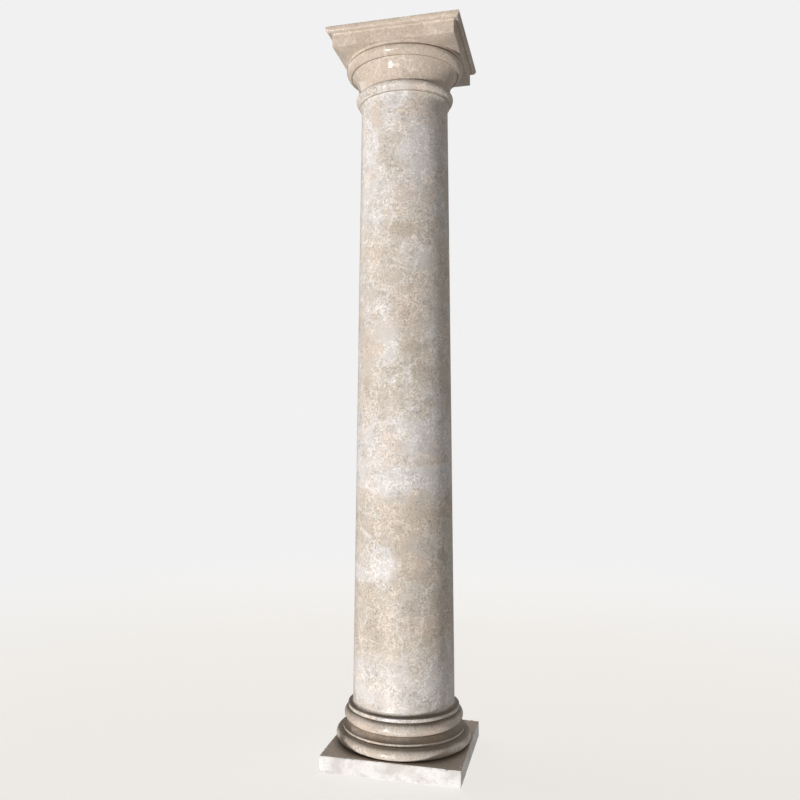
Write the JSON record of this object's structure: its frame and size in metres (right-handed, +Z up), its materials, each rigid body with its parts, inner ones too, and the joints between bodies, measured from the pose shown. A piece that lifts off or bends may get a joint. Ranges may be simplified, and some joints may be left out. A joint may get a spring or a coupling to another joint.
{
  "type": "column",
  "caption": "Free-standing polished marble column: square plinth, moulded round base, smooth tapered shaft and capital with a square abacus; carries a lintel or stands as ornament.",
  "frame": {"origin": "centre of the plinth's underside, on the ground", "axes": "+Z up along the shaft's axis; X and Y along the plinth's sides, -Y towards the viewer"},
  "size_m": [0.56, 0.56, 3],
  "materials": {
    "sawn_marble": "matte",
    "polished_marble": "polished"
  },
  "bodies": {
    "root": {"plinth": "sawn_marble", "base": "polished_marble", "shaft": "polished_marble", "capital": "polished_marble"}
  },
  "joints": []
}
